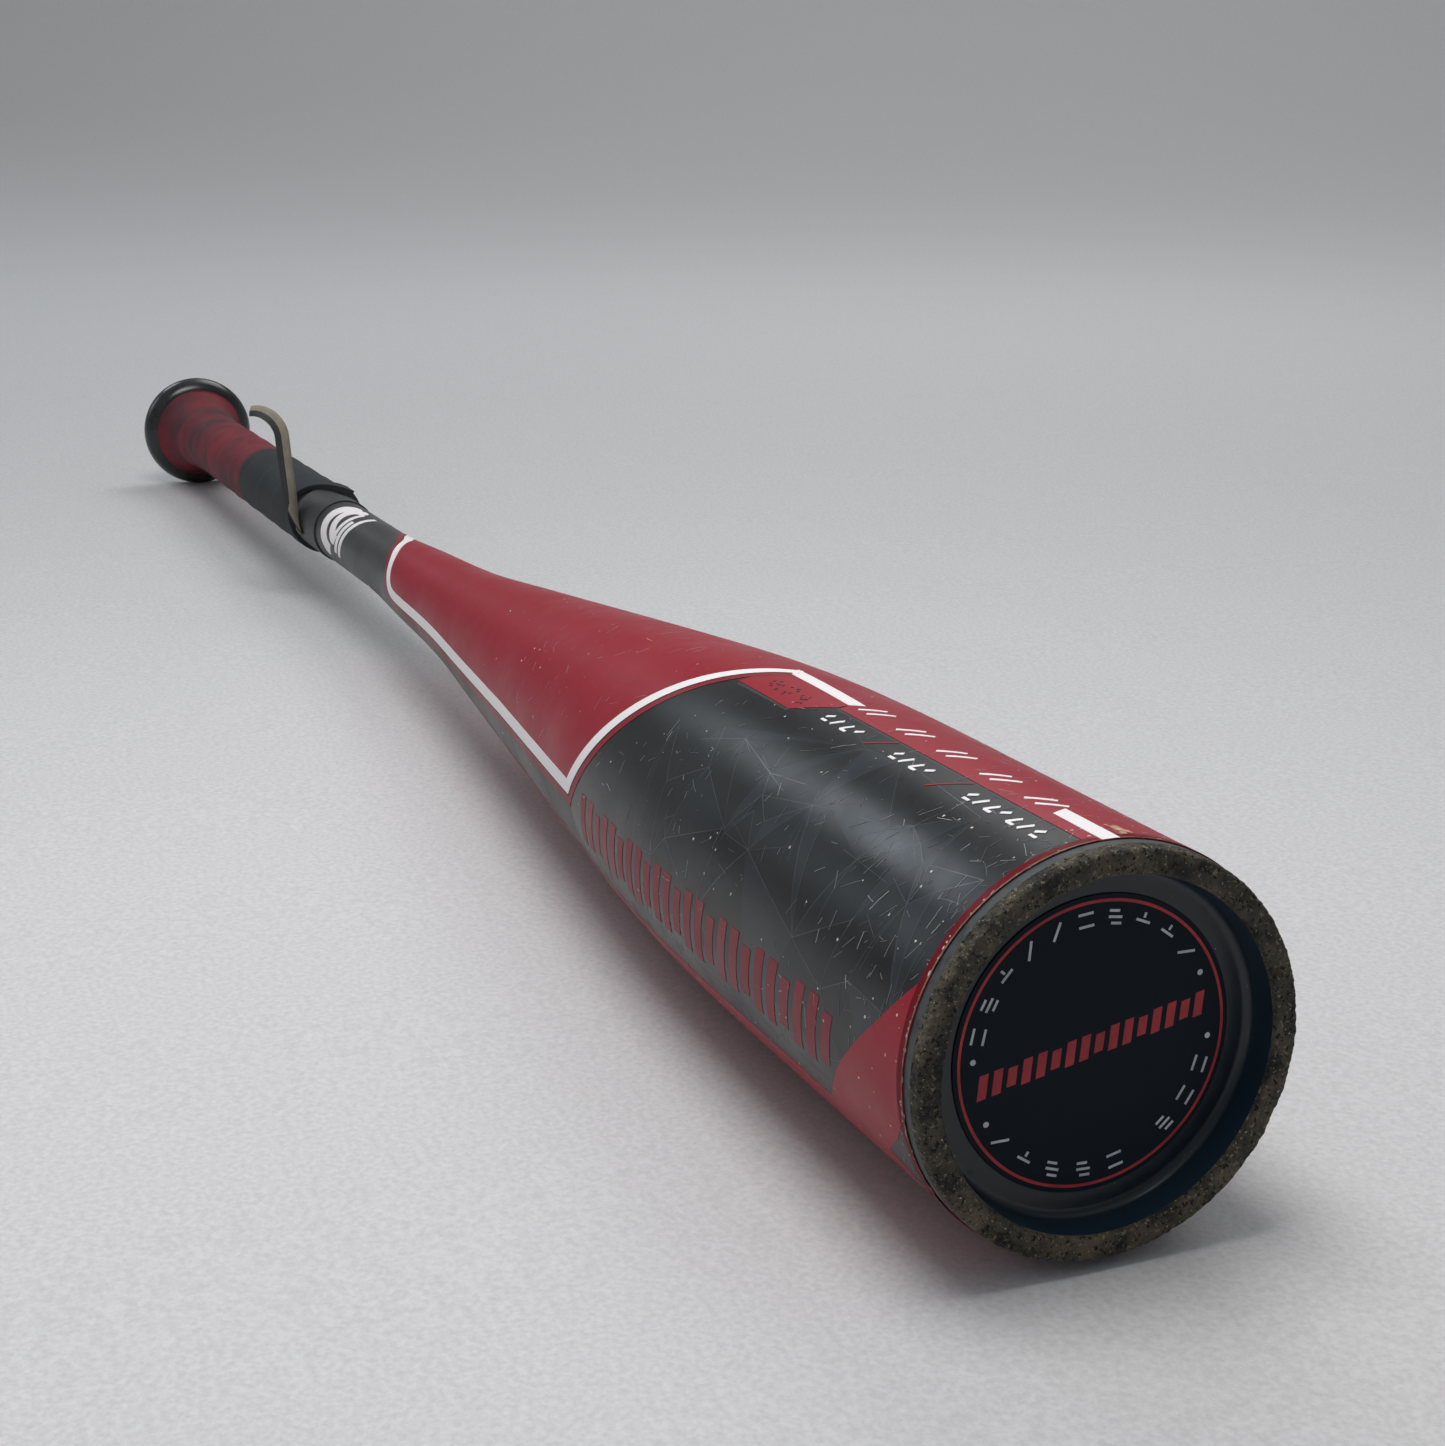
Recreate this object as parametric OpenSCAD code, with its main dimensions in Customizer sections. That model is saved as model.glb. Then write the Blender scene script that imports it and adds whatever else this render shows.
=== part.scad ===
// Youth baseball bat with a one-piece alloy shell, a moulded end cap and a wrapped grip.
// The bat lies along +X: the knob's end face is at x = 0 and the end cap's rim is at +X.

/* [Overall] */
// Length from the knob's end face to the end cap's rim
total_length = 762; // [740:1:790]
// Radius of the barrel, half of 2 5/8 in
barrel_r = 33.34; // [32:0.02:34]
// Radius of the bare handle tube
handle_r = 10; // [9.4:0.1:10.6]

/* [Shell] */
// Distance along the bat where the handle starts to flare
flare_x = 338; // [325:1:345]
// Distance along the bat where the barrel reaches its full radius
barrel_x = 683; // [670:1:690]
// Wall thickness of the barrel
barrel_wall = 1.6; // [1.4:0.1:2.2]
// Wall thickness of the handle tube
handle_wall = 2.0; // [1.8:0.1:2.8]

/* [Knob] */
// Largest radius of the knob
knob_r = 23; // [21.5:0.1:24.5]
// Length of the knob with its flared collar
knob_length = 40; // [36:1:44]
// Radius of the knob's rounded rim
knob_rim_r = 6.2; // [5.6:0.1:6.8]
// Radius of the round badge on the knob's end face
badge_r = 15; // [12:0.5:15.5]

/* [End cap] */
// How far the cap's rim stands out of the shell
cap_rim_length = 4.5; // [4:0.1:6]
// Depth of the dished recess in the cap
cap_recess_depth = 6.6; // [5:0.1:8]
// Radius of the recess at its mouth
cap_recess_r = 29; // [27:0.1:29.5]
// Length of the skirt inside the barrel
cap_skirt_length = 17; // [12:0.5:24]
// Radius of the round decal in the recess
decal_r = 24.3; // [20:0.1:25]

/* [Grip] */
// Distance along the bat where the grip tape ends
grip_end_x = 250; // [236:1:252]
// Thickness of the wound grip tape
grip_thickness = 2.2; // [1.6:0.1:2.6]
// Advance of one lap of the grip tape
lap_pitch = 26; // [22:1:32]
// How far each lap's knob-side edge stands over the lap before it
lap_step = 0.35; // [0.2:0.05:0.5]

/* [Finishing tape] */
// Length of handle that the finishing tape still covers
band_length = 28; // [16:1:34]
// Thickness of the finishing tape
tape_thickness = 0.6; // [0.4:0.05:0.8]
// Width of the loose tail of the finishing tape
tail_width = 10; // [8:0.5:14]
// Height above the axis where the tail starts to curl
tail_curl_z = 30; // [22:1:32]
// Radius of the tail's curl
tail_curl_r = 10; // [8:0.5:14]

/* [Hidden] */

$fn = 96;
eps = 0.01;

// Stations of the taper as shares of its length and of its rise in radius.
taper_shape = [[0, 0], [0.12, 0.075], [0.27, 0.18], [0.41, 0.37], [0.76, 0.853],
               [0.875, 0.966], [1, 1]];
taper_steps = 6;

shell_end_x = total_length - cap_rim_length;
barrel_bore_r = barrel_r - barrel_wall;
handle_bore_r = handle_r - handle_wall;

badge_thickness = 0.3;
knob_face_x = badge_thickness;
knob_rim_x = knob_face_x + knob_rim_r;
knob_neck_x = knob_face_x + 2 * knob_rim_r;
knob_neck_r = knob_r - knob_rim_r;
knob_rim_steps = 16;
knob_collar_r = 11;
collar_curve = 3;
socket_floor_x = 6;
plug_r = 6.5;
plug_head_r = 9;
plug_head_thickness = 1.2;
weld_r = 1;
weld_rise = 0.4;
weld_run = 0.6;

bond_gap = 0.3;
skirt_r = barrel_bore_r - bond_gap;
skirt_wall = 2.4;
skirt_chamfer_depth = 0.6;
skirt_chamfer_length = 1.2;
bond_setback = 2;
cap_floor_thickness = 2.4;
cap_edge_r = 0.8;
cap_edge_steps = 8;
cap_bend_steps = 6;
cap_lip_r = 0.6;
cap_foot_r = 1.6;
cap_wall_lean = 0.4;
cap_step = 0.1;
cap_r = barrel_r - cap_step;
cap_floor_x = total_length - cap_recess_depth;
cap_ribs = 8;
cap_rib_thickness = 1.6;
cap_rib_root = 1;
cap_hub_r = 6;
cap_hub_length = 7;
decal_thickness = 0.25;

grip_setback = 0.9;
grip_start_x = knob_neck_x + grip_setback;
grip_gap = 0.05;
grip_steps = 24;
// Powers that crowd the sleeve's stations towards the knob's curved collar.
grip_under_power = 0.6;
grip_over_power = 1.4;

tail_x = 256;
tail_gap = 0.06;
tail_y = -handle_r - tape_thickness / 2 - tail_gap;
tail_foot_z = -4;
tail_twist = 37;
tail_twist_rate = 4;
tail_lean = 4.5;
tail_curl_angle = 100;
tail_stations = 16;

// Cubic curve from height a to b over length d with end slopes p and q, at share t.
function hermite(a, b, p, q, d, t) =
    (2*t*t*t - 3*t*t + 1) * a + (t*t*t - 2*t*t + t) * d * p
    + (-2*t*t*t + 3*t*t) * b + (t*t*t - t*t) * d * q;

// Slope of the taper's curve at station i, level at both ends.
function taper_slope(i) =
    i == 0 || i == len(taper_shape) - 1 ? 0 :
    (taper_shape[i+1][1] - taper_shape[i-1][1]) / (taper_shape[i+1][0] - taper_shape[i-1][0]);

// Points of the taper as [share of length, share of rise].
taper = [
    for (i = [0 : len(taper_shape) - 2])
        for (k = [0 : taper_steps - 1])
            let (a = taper_shape[i], b = taper_shape[i+1], t = k / taper_steps, d = b[0] - a[0])
                [a[0] + t * d, hermite(a[1], b[1], taper_slope(i), taper_slope(i+1), d, t)],
    [1, 1]
];

// The shell's outer curve, or its inner one when cut is 1, as [radius, x].
function shell_curve(cut) = [
    for (p = taper)
        let (wall = handle_wall + p[0] * (barrel_wall - handle_wall))
            [handle_r + p[1] * (barrel_r - handle_r) - cut * wall, flare_x + p[0] * (barrel_x - flare_x)]
];

// Points of an arc about [r, x], from angle a to angle b, as [radius, x].
function arc(r, x, size, a, b, steps) = [
    for (k = [0 : steps])
        let (g = a + (b - a) * k / steps) [r + size * cos(g), x + size * sin(g)]
];

// Radius of the knob's flared collar at x, easing from the rim down to the handle.
function collar_radius(x) =
    knob_collar_r + (knob_neck_r - knob_collar_r)
    * pow(max(0, (knob_length - x) / (knob_length - knob_neck_x)), collar_curve);

// Radius that the grip tape is wound on at x.
function wound_radius(x) = (x < knob_length + weld_r ? collar_radius(x) : handle_r) + grip_gap;

// Turns a closed outline of [radius, x] points about the bat's axis.
module turned(outline) {
    rotate([0, 90, 0]) rotate_extrude() polygon(outline);
}

module barrel_shell() {
    inner = shell_curve(1);
    color("dimgray")
        turned(concat(
            [[handle_bore_r, socket_floor_x], [handle_r, socket_floor_x]],
            shell_curve(0),
            [[barrel_r, shell_end_x], [barrel_bore_r, shell_end_x]],
            [for (k = [len(inner) - 1 : -1 : 0]) inner[k]]
        ));
}

module knob() {
    collar_steps = 12;
    collar = [
        for (k = [0 : collar_steps])
            let (x = knob_neck_x + (knob_length - knob_neck_x) * k / collar_steps) [collar_radius(x), x]
    ];
    color("black")
        turned(concat(
            [[plug_r, socket_floor_x], [plug_r, knob_face_x + plug_head_thickness],
             [plug_head_r, knob_face_x + plug_head_thickness], [plug_head_r, knob_face_x]],
            arc(knob_neck_r, knob_rim_x, knob_rim_r, -90, 90, knob_rim_steps),
            collar,
            [[handle_r, knob_length], [handle_r, socket_floor_x]]
        ));
}

// Fillet bead between the knob's collar and the handle tube.
module knob_weld() {
    color("silver")
        turned([[handle_r, knob_length], [knob_collar_r, knob_length],
                [handle_r + weld_rise, knob_length + weld_run], [handle_r, knob_length + weld_r]]);
}

module knob_plug() {
    color("darkslategray")
        turned([[0, knob_face_x], [plug_head_r, knob_face_x],
                [plug_head_r, knob_face_x + plug_head_thickness],
                [plug_r, knob_face_x + plug_head_thickness],
                [plug_r, socket_floor_x], [0, socket_floor_x]]);
}

module knob_badge() {
    color("firebrick")
        turned([[0, 0], [badge_r, 0], [badge_r, badge_thickness], [0, badge_thickness]]);
}

// Ribs inside the cap, from its hub to its skirt.
module cap_stiffeners() {
    back_x = cap_floor_x - cap_floor_thickness;
    rotate([0, 90, 0])
        for (k = [0 : cap_ribs - 1])
            rotate([0, 0, 360 * k / cap_ribs])
                translate([cap_hub_r - cap_rib_root, -cap_rib_thickness / 2, back_x - cap_hub_length])
                    cube([skirt_r - skirt_wall - cap_hub_r + 2 * cap_rib_root, cap_rib_thickness,
                          cap_hub_length + cap_rib_root]);
}

module end_cap() {
    skirt_x = shell_end_x - cap_skirt_length;
    back_x = cap_floor_x - cap_floor_thickness;
    foot_r = cap_recess_r - cap_wall_lean - cap_foot_r;
    color([0.16, 0.17, 0.17]) {
        turned(concat(
            [[skirt_r - skirt_wall, skirt_x], [skirt_r - skirt_chamfer_depth, skirt_x],
             [skirt_r, skirt_x + skirt_chamfer_length], [skirt_r, shell_end_x], [cap_r, shell_end_x]],
            arc(cap_r - cap_edge_r, total_length - cap_edge_r, cap_edge_r, 0, 90, cap_edge_steps),
            arc(cap_recess_r + cap_lip_r, total_length - cap_lip_r, cap_lip_r, 90, 180, cap_bend_steps),
            arc(foot_r, cap_floor_x + cap_foot_r, cap_foot_r, 0, -90, cap_bend_steps),
            [[0, cap_floor_x], [0, back_x - cap_hub_length], [cap_hub_r, back_x - cap_hub_length],
             [cap_hub_r, back_x], [skirt_r - skirt_wall, back_x]]
        ));
        cap_stiffeners();
    }
}

// Adhesive between the cap's skirt and the barrel's bore.
module cap_bond() {
    bond_x = shell_end_x - cap_skirt_length + bond_setback;
    color("darkkhaki")
        turned([[skirt_r, bond_x], [barrel_bore_r, bond_x],
                [barrel_bore_r, shell_end_x], [skirt_r, shell_end_x]]);
}

module cap_decal() {
    color([0.05, 0.07, 0.1])
        translate([cap_floor_x, 0, 0]) rotate([0, 90, 0])
            cylinder(r = decal_r, h = decal_thickness);
}

// One continuous padded strip, drawn as a sleeve whose laps step down towards the barrel.
module grip_tape() {
    span = grip_end_x - grip_start_x;
    under = [
        for (k = [0 : grip_steps])
            let (x = grip_end_x - span * pow(k / grip_steps, grip_under_power)) [wound_radius(x), x]
    ];
    over = [
        for (k = [0 : grip_steps * 2])
            let (x = grip_start_x + span * pow(k / (grip_steps * 2), grip_over_power),
                 turns = (x - grip_start_x) / lap_pitch)
                [wound_radius(x) + grip_thickness - lap_step * (turns - floor(turns)), x]
    ];
    color([0.45, 0.1, 0.14])
        turned(concat(over, under));
}

// Middle of the loose tail's section at share t of its length, in the tail's own plane.
tail_straight = tail_curl_z - tail_foot_z;
tail_arc = tail_curl_r * tail_curl_angle * PI / 180;
function tail_bend(t) = max(0, t * (tail_straight + tail_arc) - tail_straight) / tail_curl_r * 180 / PI;
function tail_out(t) = tail_curl_r * (1 - cos(tail_bend(t)));
function tail_up(t) = min(t * (tail_straight + tail_arc), tail_straight) + tail_curl_r * sin(tail_bend(t));

// The four corners of the tail's section at share t; the strip twists as it rises.
function tail_section(t) =
    let (
        turn = tail_twist * min(1, t * tail_twist_rate),
        across = [-cos(turn), sin(turn), 0],
        out = [-sin(turn), -cos(turn), 0],
        normal = out * cos(tail_bend(t)) - [0, 0, 1] * sin(tail_bend(t)),
        middle = [tail_x, tail_y - tail_up(t) * tan(tail_lean), tail_foot_z + tail_up(t)]
                 + out * tail_out(t)
    )
    [for (c = [[-1, -1], [1, -1], [1, 1], [-1, 1]])
        middle + across * (c[0] * tail_width / 2) + normal * (c[1] * tape_thickness / 2)];

module tail() {
    rings = [for (k = [0 : tail_stations]) tail_section(k / tail_stations)];
    last = tail_stations * 4;
    polyhedron(
        points = [for (ring = rings) each ring],
        faces = concat(
            [[0, 1, 2, 3], [last + 3, last + 2, last + 1, last]],
            [for (k = [0 : tail_stations - 1])
                for (c = [0 : 3])
                    let (n = (c + 1) % 4)
                        [4 * k + c, 4 * (k + 1) + c, 4 * (k + 1) + n, 4 * k + n]]
        ),
        convexity = 4
    );
}

// Thin tape that finished the grip: a band on the handle, and its end come loose and curled.
module finish_tape() {
    color([0.1, 0.1, 0.1])
        turned([[handle_r + eps, grip_end_x], [handle_r + tape_thickness, grip_end_x],
                [handle_r + tape_thickness, grip_end_x + band_length],
                [handle_r + eps, grip_end_x + band_length]]);
    color([0.42, 0.4, 0.36])
        tail();
}

barrel_shell();
knob();
knob_weld();
knob_plug();
knob_badge();
end_cap();
cap_bond();
cap_decal();
grip_tape();
finish_tape();
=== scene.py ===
# Youth alloy baseball bat lying on a plain floor, seen from its end cap.
# Inside the making functions lengths are millimetres along the bat, and angles are degrees round
# it: 0 on top, 90 on its left side. Meshes are written in metres.
import math
import random
from bisect import bisect_right

import bpy
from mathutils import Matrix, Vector, noise
from mathutils.geometry import delaunay_2d_cdt


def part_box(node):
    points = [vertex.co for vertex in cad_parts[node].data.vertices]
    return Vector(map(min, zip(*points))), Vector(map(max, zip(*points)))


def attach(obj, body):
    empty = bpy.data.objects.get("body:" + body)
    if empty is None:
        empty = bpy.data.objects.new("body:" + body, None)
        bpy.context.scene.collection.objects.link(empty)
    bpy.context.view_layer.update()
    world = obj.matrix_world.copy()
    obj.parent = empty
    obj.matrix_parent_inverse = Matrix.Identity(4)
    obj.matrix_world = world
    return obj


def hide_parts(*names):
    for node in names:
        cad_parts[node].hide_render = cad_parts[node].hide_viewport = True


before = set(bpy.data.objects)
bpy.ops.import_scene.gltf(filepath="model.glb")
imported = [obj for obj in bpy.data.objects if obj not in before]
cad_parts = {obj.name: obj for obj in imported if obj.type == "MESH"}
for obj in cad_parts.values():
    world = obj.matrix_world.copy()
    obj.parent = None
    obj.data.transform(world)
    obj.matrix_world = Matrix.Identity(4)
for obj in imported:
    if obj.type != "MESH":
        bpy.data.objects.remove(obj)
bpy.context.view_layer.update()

MM = 0.001
LOW, HIGH = 0, 1
X, Y, Z = 0, 1, 2


# ---------------------------------------------------------------- sizes read from the frame

def reach(node, side, axis):
    """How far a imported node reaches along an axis, in millimetres."""
    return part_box(node)[side][axis] / MM


RIM_X = reach("end_cap", HIGH, X)
CAP_R = reach("end_cap", HIGH, Z)
CAP_BACK = reach("end_cap", LOW, X)
SHELL_END = reach("barrel_shell", HIGH, X)
KNOB_R = reach("knob", HIGH, Z)
KNOB_FACE = reach("knob", LOW, X)
KNOB_END = reach("knob", HIGH, X)
GRIP_START = reach("grip_tape", LOW, X)
GRIP_END = reach("grip_tape", HIGH, X)
SHELL_START = reach("barrel_shell", LOW, X)
KNOB_WELD_R = reach("knob_weld", HIGH, Z)
PLUG_END = reach("knob_plug", HIGH, X)
PLUG_R = reach("knob_plug", HIGH, Z)
DECAL_R = reach("cap_decal", HIGH, Z)
DECAL_FACE = reach("cap_decal", HIGH, X)
CAP_FLOOR = reach("cap_decal", LOW, X)
BORE_R = reach("cap_bond", HIGH, Z)
BAND_END = reach("finish_tape", HIGH, X)


def stations(node, pick):
    """(x, radius) stations of a turned node: its outside with max, or its bore with min."""
    found = {}
    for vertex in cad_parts[node].data.vertices:
        x = round(vertex.co.x / MM, 2)
        radius = math.hypot(vertex.co.y, vertex.co.z) / MM
        found[x] = pick(found.get(x, radius), radius)
    return sorted(found.items())


def growing(found):
    """The stations that the radius grows through, towards the barrel."""
    kept = found[:1]
    for x, radius in found[1:]:
        if radius > kept[-1][1] - 1e-3:
            kept.append((x, radius))
    return kept


def bore_only(found):
    """The stations of a bore, without those where only the outside was found."""
    kept = found[-1:]
    for x, radius in reversed(found[:-1]):
        if radius < kept[-1][1] + 1e-3:
            kept.append((x, radius))
    return kept[::-1]


OUTSIDE = growing(stations("barrel_shell", max))
BORE = bore_only(stations("barrel_shell", min))
STATION_X = [x for x, radius in OUTSIDE]
BARREL_R = OUTSIDE[-1][1]
HANDLE_R = OUTSIDE[0][1]


def station_slope(i):
    """Slope of the shell's outside at a station, from its neighbours."""
    if i == 0 or i == len(OUTSIDE) - 1:
        return 0.0
    (x0, r0), (x1, r1), (x2, r2) = OUTSIDE[i - 1:i + 2]
    before, after = (r1 - r0) / (x1 - x0), (r2 - r1) / (x2 - x1)
    return 0.0 if before * after <= 0 else 2 * before * after / (before + after)


SLOPES = [station_slope(i) for i in range(len(OUTSIDE))]


def shell_radius(x):
    """Radius of the shell's outside, on one smooth curve through its stations."""
    i = min(max(bisect_right(STATION_X, x) - 1, 0), len(OUTSIDE) - 2)
    (x0, r0), (x1, r1) = OUTSIDE[i], OUTSIDE[i + 1]
    span = x1 - x0
    t = min(max((x - x0) / span, 0.0), 1.0)
    return (
        (2 * t**3 - 3 * t**2 + 1) * r0 + (t**3 - 2 * t**2 + t) * span * SLOPES[i]
        + (3 * t**2 - 2 * t**3) * r1 + (t**3 - t**2) * span * SLOPES[i + 1]
    )


def round_bat(x, radius, degrees):
    """The point at a radius and an angle round the bat."""
    angle = math.radians(degrees)
    return Vector((x, radius * math.sin(angle), radius * math.cos(angle)))


def on_shell(x, degrees, lift):
    """A point of the shell's outside, lifted off it."""
    return round_bat(x, shell_radius(x) + lift, degrees)


def on_decal(right, up, lift):
    """A point of the decal's face, right and up as the cap is looked at, lifted off it."""
    return Vector((DECAL_FACE + lift, right, up))


# ---------------------------------------------------------------- making meshes

SHARP_EDGE = math.radians(32)


def make_mesh(name, points, faces, materials):
    """A smooth-shaded mesh from points in millimetres."""
    mesh = bpy.data.meshes.new(name)
    mesh.from_pydata([tuple(c * MM for c in p) for p in points], [], faces)
    for material in materials:
        mesh.materials.append(material)
    mesh.polygons.foreach_set("use_smooth", [True] * len(faces))
    return mesh


def put(name, data):
    """Puts a mesh, a light or a camera into the scene as an object."""
    made = bpy.data.objects.new(name, data)
    bpy.context.scene.collection.objects.link(made)
    return made


def piece(name, points, faces, materials, stands_for=(), picks=None, sharp=SHARP_EDGE):
    """A mesh object that rides on the bat. picks says which material each face has."""
    mesh = make_mesh(name, points, faces, materials)
    if picks:
        mesh.polygons.foreach_set("material_index", picks)
    mesh.set_sharp_from_angle(angle=sharp)
    mesh.update()
    made = put(name, mesh)
    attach(made, "root")
    if stands_for:
        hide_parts(*stands_for)
    return made


def lathe(outline, segments):
    """Turns a closed outline of (x, radius) about the bat's axis. Points on the axis become poles."""
    points, faces, rings = [], [], []
    for x, radius in outline:
        if radius < 1e-6:
            rings.append([len(points)] * segments)
            points.append(Vector((x, 0, 0)))
        else:
            rings.append([len(points) + k for k in range(segments)])
            points += [round_bat(x, radius, 360 * k / segments) for k in range(segments)]
    for here, there in zip(rings, rings[1:] + rings[:1]):
        for k in range(segments):
            n = (k + 1) % segments
            corners = [here[k], there[k], there[n], here[n]]
            kept = [c for i, c in enumerate(corners) if c != corners[i - 1]]
            if len(kept) > 2:
                faces.append(tuple(kept))
    return points, faces


def strip(row, here, there):
    """Faces between two closed rows of points, by the numbers of their first points."""
    return [(here + k, here + (k + 1) % row, there + (k + 1) % row, there + k) for k in range(row)]


def bow(x, radius, size, start, end, steps):
    """Points of an arc of an outline, as (x, radius). 0 degrees points outwards, 90 to the cap."""
    return [
        (x + size * math.sin(g), radius + size * math.cos(g))
        for g in (math.radians(start + (end - start) * k / steps) for k in range(steps + 1))
    ]


def fill_line(points, step):
    """Points of a line or outline with no gap longer than step in x or in degrees."""
    dense = [points[0]]
    for (x0, a0), (x1, a1) in zip(points, points[1:]):
        pieces = max(1, math.ceil(max(abs(x1 - x0), abs(a1 - a0)) / step))
        dense += [(x0 + (x1 - x0) * k / pieces, a0 + (a1 - a0) * k / pieces)
                  for k in range(1, pieces + 1)]
    return dense


def inside(outline, x, a):
    """Whether a point lies inside an outline of (x, degrees)."""
    hit = False
    for (x0, a0), (x1, a1) in zip(outline, outline[1:] + outline[:1]):
        if (a0 > a) != (a1 > a) and x < x0 + (x1 - x0) * (a - a0) / (a1 - a0):
            hit = not hit
    return hit


FLAT = 0.5  # millimetres that stand for a degree while an outline is filled with triangles
MERGE = 1e-5  # points closer than this become one


def triangulate(spots, edges=()):
    """Triangles through spots of (x, degrees) that keep the given edges: flat points and faces."""
    spread = [Vector((x, a * FLAT)) for x, a in spots]
    found, _, faces, *_ = delaunay_2d_cdt(spread, list(edges), [], 0, MERGE, False)
    return [(p.x, p.y / FLAT) for p in found], faces


def centre(flat, face):
    """The middle of a face, as (x, degrees)."""
    return tuple(sum(flat[k][i] for k in face) / len(face) for i in (0, 1))


def patch(outline, step=1.6, grid_x=3.0, grid_a=1.6, creases=()):
    """Triangles that fill an outline of (x, degrees) finely enough to follow the round shell."""
    edge = fill_line(list(outline) + [outline[0]], step)[:-1]
    xs, angles = [p[0] for p in edge], [p[1] for p in edge]
    spots = list(edge)
    constraints = []
    for a, b in creases:
        line = fill_line([a, b], step)
        constraints += [(len(spots) + k, len(spots) + k + 1) for k in range(len(line) - 1)]
        spots += line
    for i in range(1, int((max(xs) - min(xs)) / grid_x) + 1):
        for j in range(1, int((max(angles) - min(angles)) / grid_a) + 1):
            spot = (min(xs) + i * grid_x, min(angles) + (j + 0.5 * (i % 2)) * grid_a)
            if inside(edge, *spot):
                spots.append(spot)
    loop = [(k, (k + 1) % len(edge)) for k in range(len(edge))]
    flat, faces = triangulate(spots, loop + constraints)
    return flat, [tuple(face) for face in faces if inside(edge, *centre(flat, face))]


def ribbon(line, width, lanes=1, step=2.0, closed=False, shift=0.0):
    """A strip of constant width in millimetres along a line of (x, degrees), mitred at corners.

    shift moves it to the left of the line."""
    dense = fill_line(list(line) + ([line[0]] if closed else []), step)
    if closed:
        dense = dense[:-1]
    flat, count = [], len(dense)
    for i, (x, a) in enumerate(dense):
        arc = math.radians(1) * shell_radius(x)
        before = dense[i - 1] if i or closed else None
        after = dense[(i + 1) % count] if i < count - 1 or closed else None
        ways = []
        for start, end in ((before, (x, a)), ((x, a), after)):
            if start and end:
                way = Vector((end[0] - start[0], (end[1] - start[1]) * arc))
                if way.length > 1e-9:
                    ways.append(way.normalized())
        side = sum((Vector((-w.y, w.x)) for w in ways), Vector((0, 0))).normalized()
        spread = 1 / max(0.35, side.dot(Vector((-ways[0].y, ways[0].x))))
        for k in range(lanes + 1):
            out = ((k / lanes - 0.5) * width + shift) * spread
            flat.append((x + side.x * out, a + side.y * out / arc))
    faces, row = [], lanes + 1
    for i in range(count if closed else count - 1):
        n = (i + 1) % count
        for k in range(lanes):
            faces.append((i * row + k, n * row + k, n * row + k + 1, i * row + k + 1))
    return flat, faces


class Print:
    """Paint, ink or marks on a surface: thin closed shapes collected into one piece.

    place turns the two numbers of a flat point and a lift into a point. root is the lift of the
    shapes' undersides."""

    def __init__(self, lift, place=on_shell, root=-0.03):
        self.lift, self.place, self.root = lift, place, root
        self.points, self.faces, self.tones = [], [], []

    def lay(self, shape, turn=0.0, tone=0.0):
        """Adds one flat shape, turned round the bat by some degrees."""
        flat, faces = shape
        first, count = len(self.points), len(flat)
        for lift in (self.lift, self.root):
            self.points += [self.place(x, a + turn, lift) for x, a in flat]
        turned, borders = [], {}
        for face in faces:
            area = sum(flat[p][0] * flat[q][1] - flat[q][0] * flat[p][1]
                       for p, q in zip(face, face[1:] + face[:1]))
            turned.append(face if area > 0 else face[::-1])
        for face in turned:
            for p, q in zip(face, face[1:] + face[:1]):
                borders[p, q] = True
        new = [tuple(first + k for k in face) for face in turned]
        new += [tuple(first + count + k for k in face[::-1]) for face in turned]
        new += [(first + q, first + p, first + count + p, first + count + q)
                for p, q in borders if (q, p) not in borders]
        self.faces += new
        shades = [tone(flat, face) if callable(tone) else tone for face in turned]
        self.tones += shades * 2 + [0.0 if callable(tone) else tone] * (len(new) - 2 * len(turned))

    def make(self, name, material, slot="shell_paint"):
        """Writes the collected shapes as one piece, with each face's tone as an attribute."""
        made = piece(name, self.points, self.faces, [material])
        store = made.data.attributes.new("tone", "FLOAT", "FACE")
        store.data.foreach_set("value", self.tones)
        return made


# ---------------------------------------------------------------- materials

VALUE, COLOUR, VECTOR = "NodeSocketFloat", "NodeSocketColor", "NodeSocketVector"


def srgb(red, green, blue):
    """A colour from 0 to 255 screen values, as the linear colour that shaders use."""
    parts = []
    for value in (red, green, blue):
        share = value / 255
        parts.append(share / 12.92 if share <= 0.04045 else ((share + 0.055) / 1.055) ** 2.4)
    return (*parts, 1.0)


def feed(tree, socket, value):
    """Wires a socket to another, or gives it a value. Colours are written as screen values."""
    if isinstance(value, bpy.types.NodeSocket):
        tree.links.new(value, socket)
    else:
        socket.default_value = srgb(*value) if isinstance(value, tuple) else value


def node(tree, kind, settings=None, **inputs):
    """Adds a shader node. Inputs are sockets or values, by name with _ for a space."""
    made = tree.nodes.new("ShaderNode" + kind)
    for name, value in (settings or {}).items():
        setattr(made, name, value)
    for name, value in inputs.items():
        feed(tree, made.inputs[name.replace("_", " ")], value)
    return made


def maths(tree, operation, *values):
    """The result of a maths node on sockets or values."""
    made = node(tree, "Math", {"operation": operation})
    for socket, value in zip(made.inputs, values):
        feed(tree, socket, value)
    return made.outputs[0]


def blend(tree, mask, one, other):
    """A colour between two others by a mask. Each is a socket or a value."""
    made = node(tree, "Mix", {"data_type": "RGBA"})
    for place, value in ((0, mask), (6, one), (7, other)):
        feed(tree, made.inputs[place], value)
    return made.outputs[2]


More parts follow.
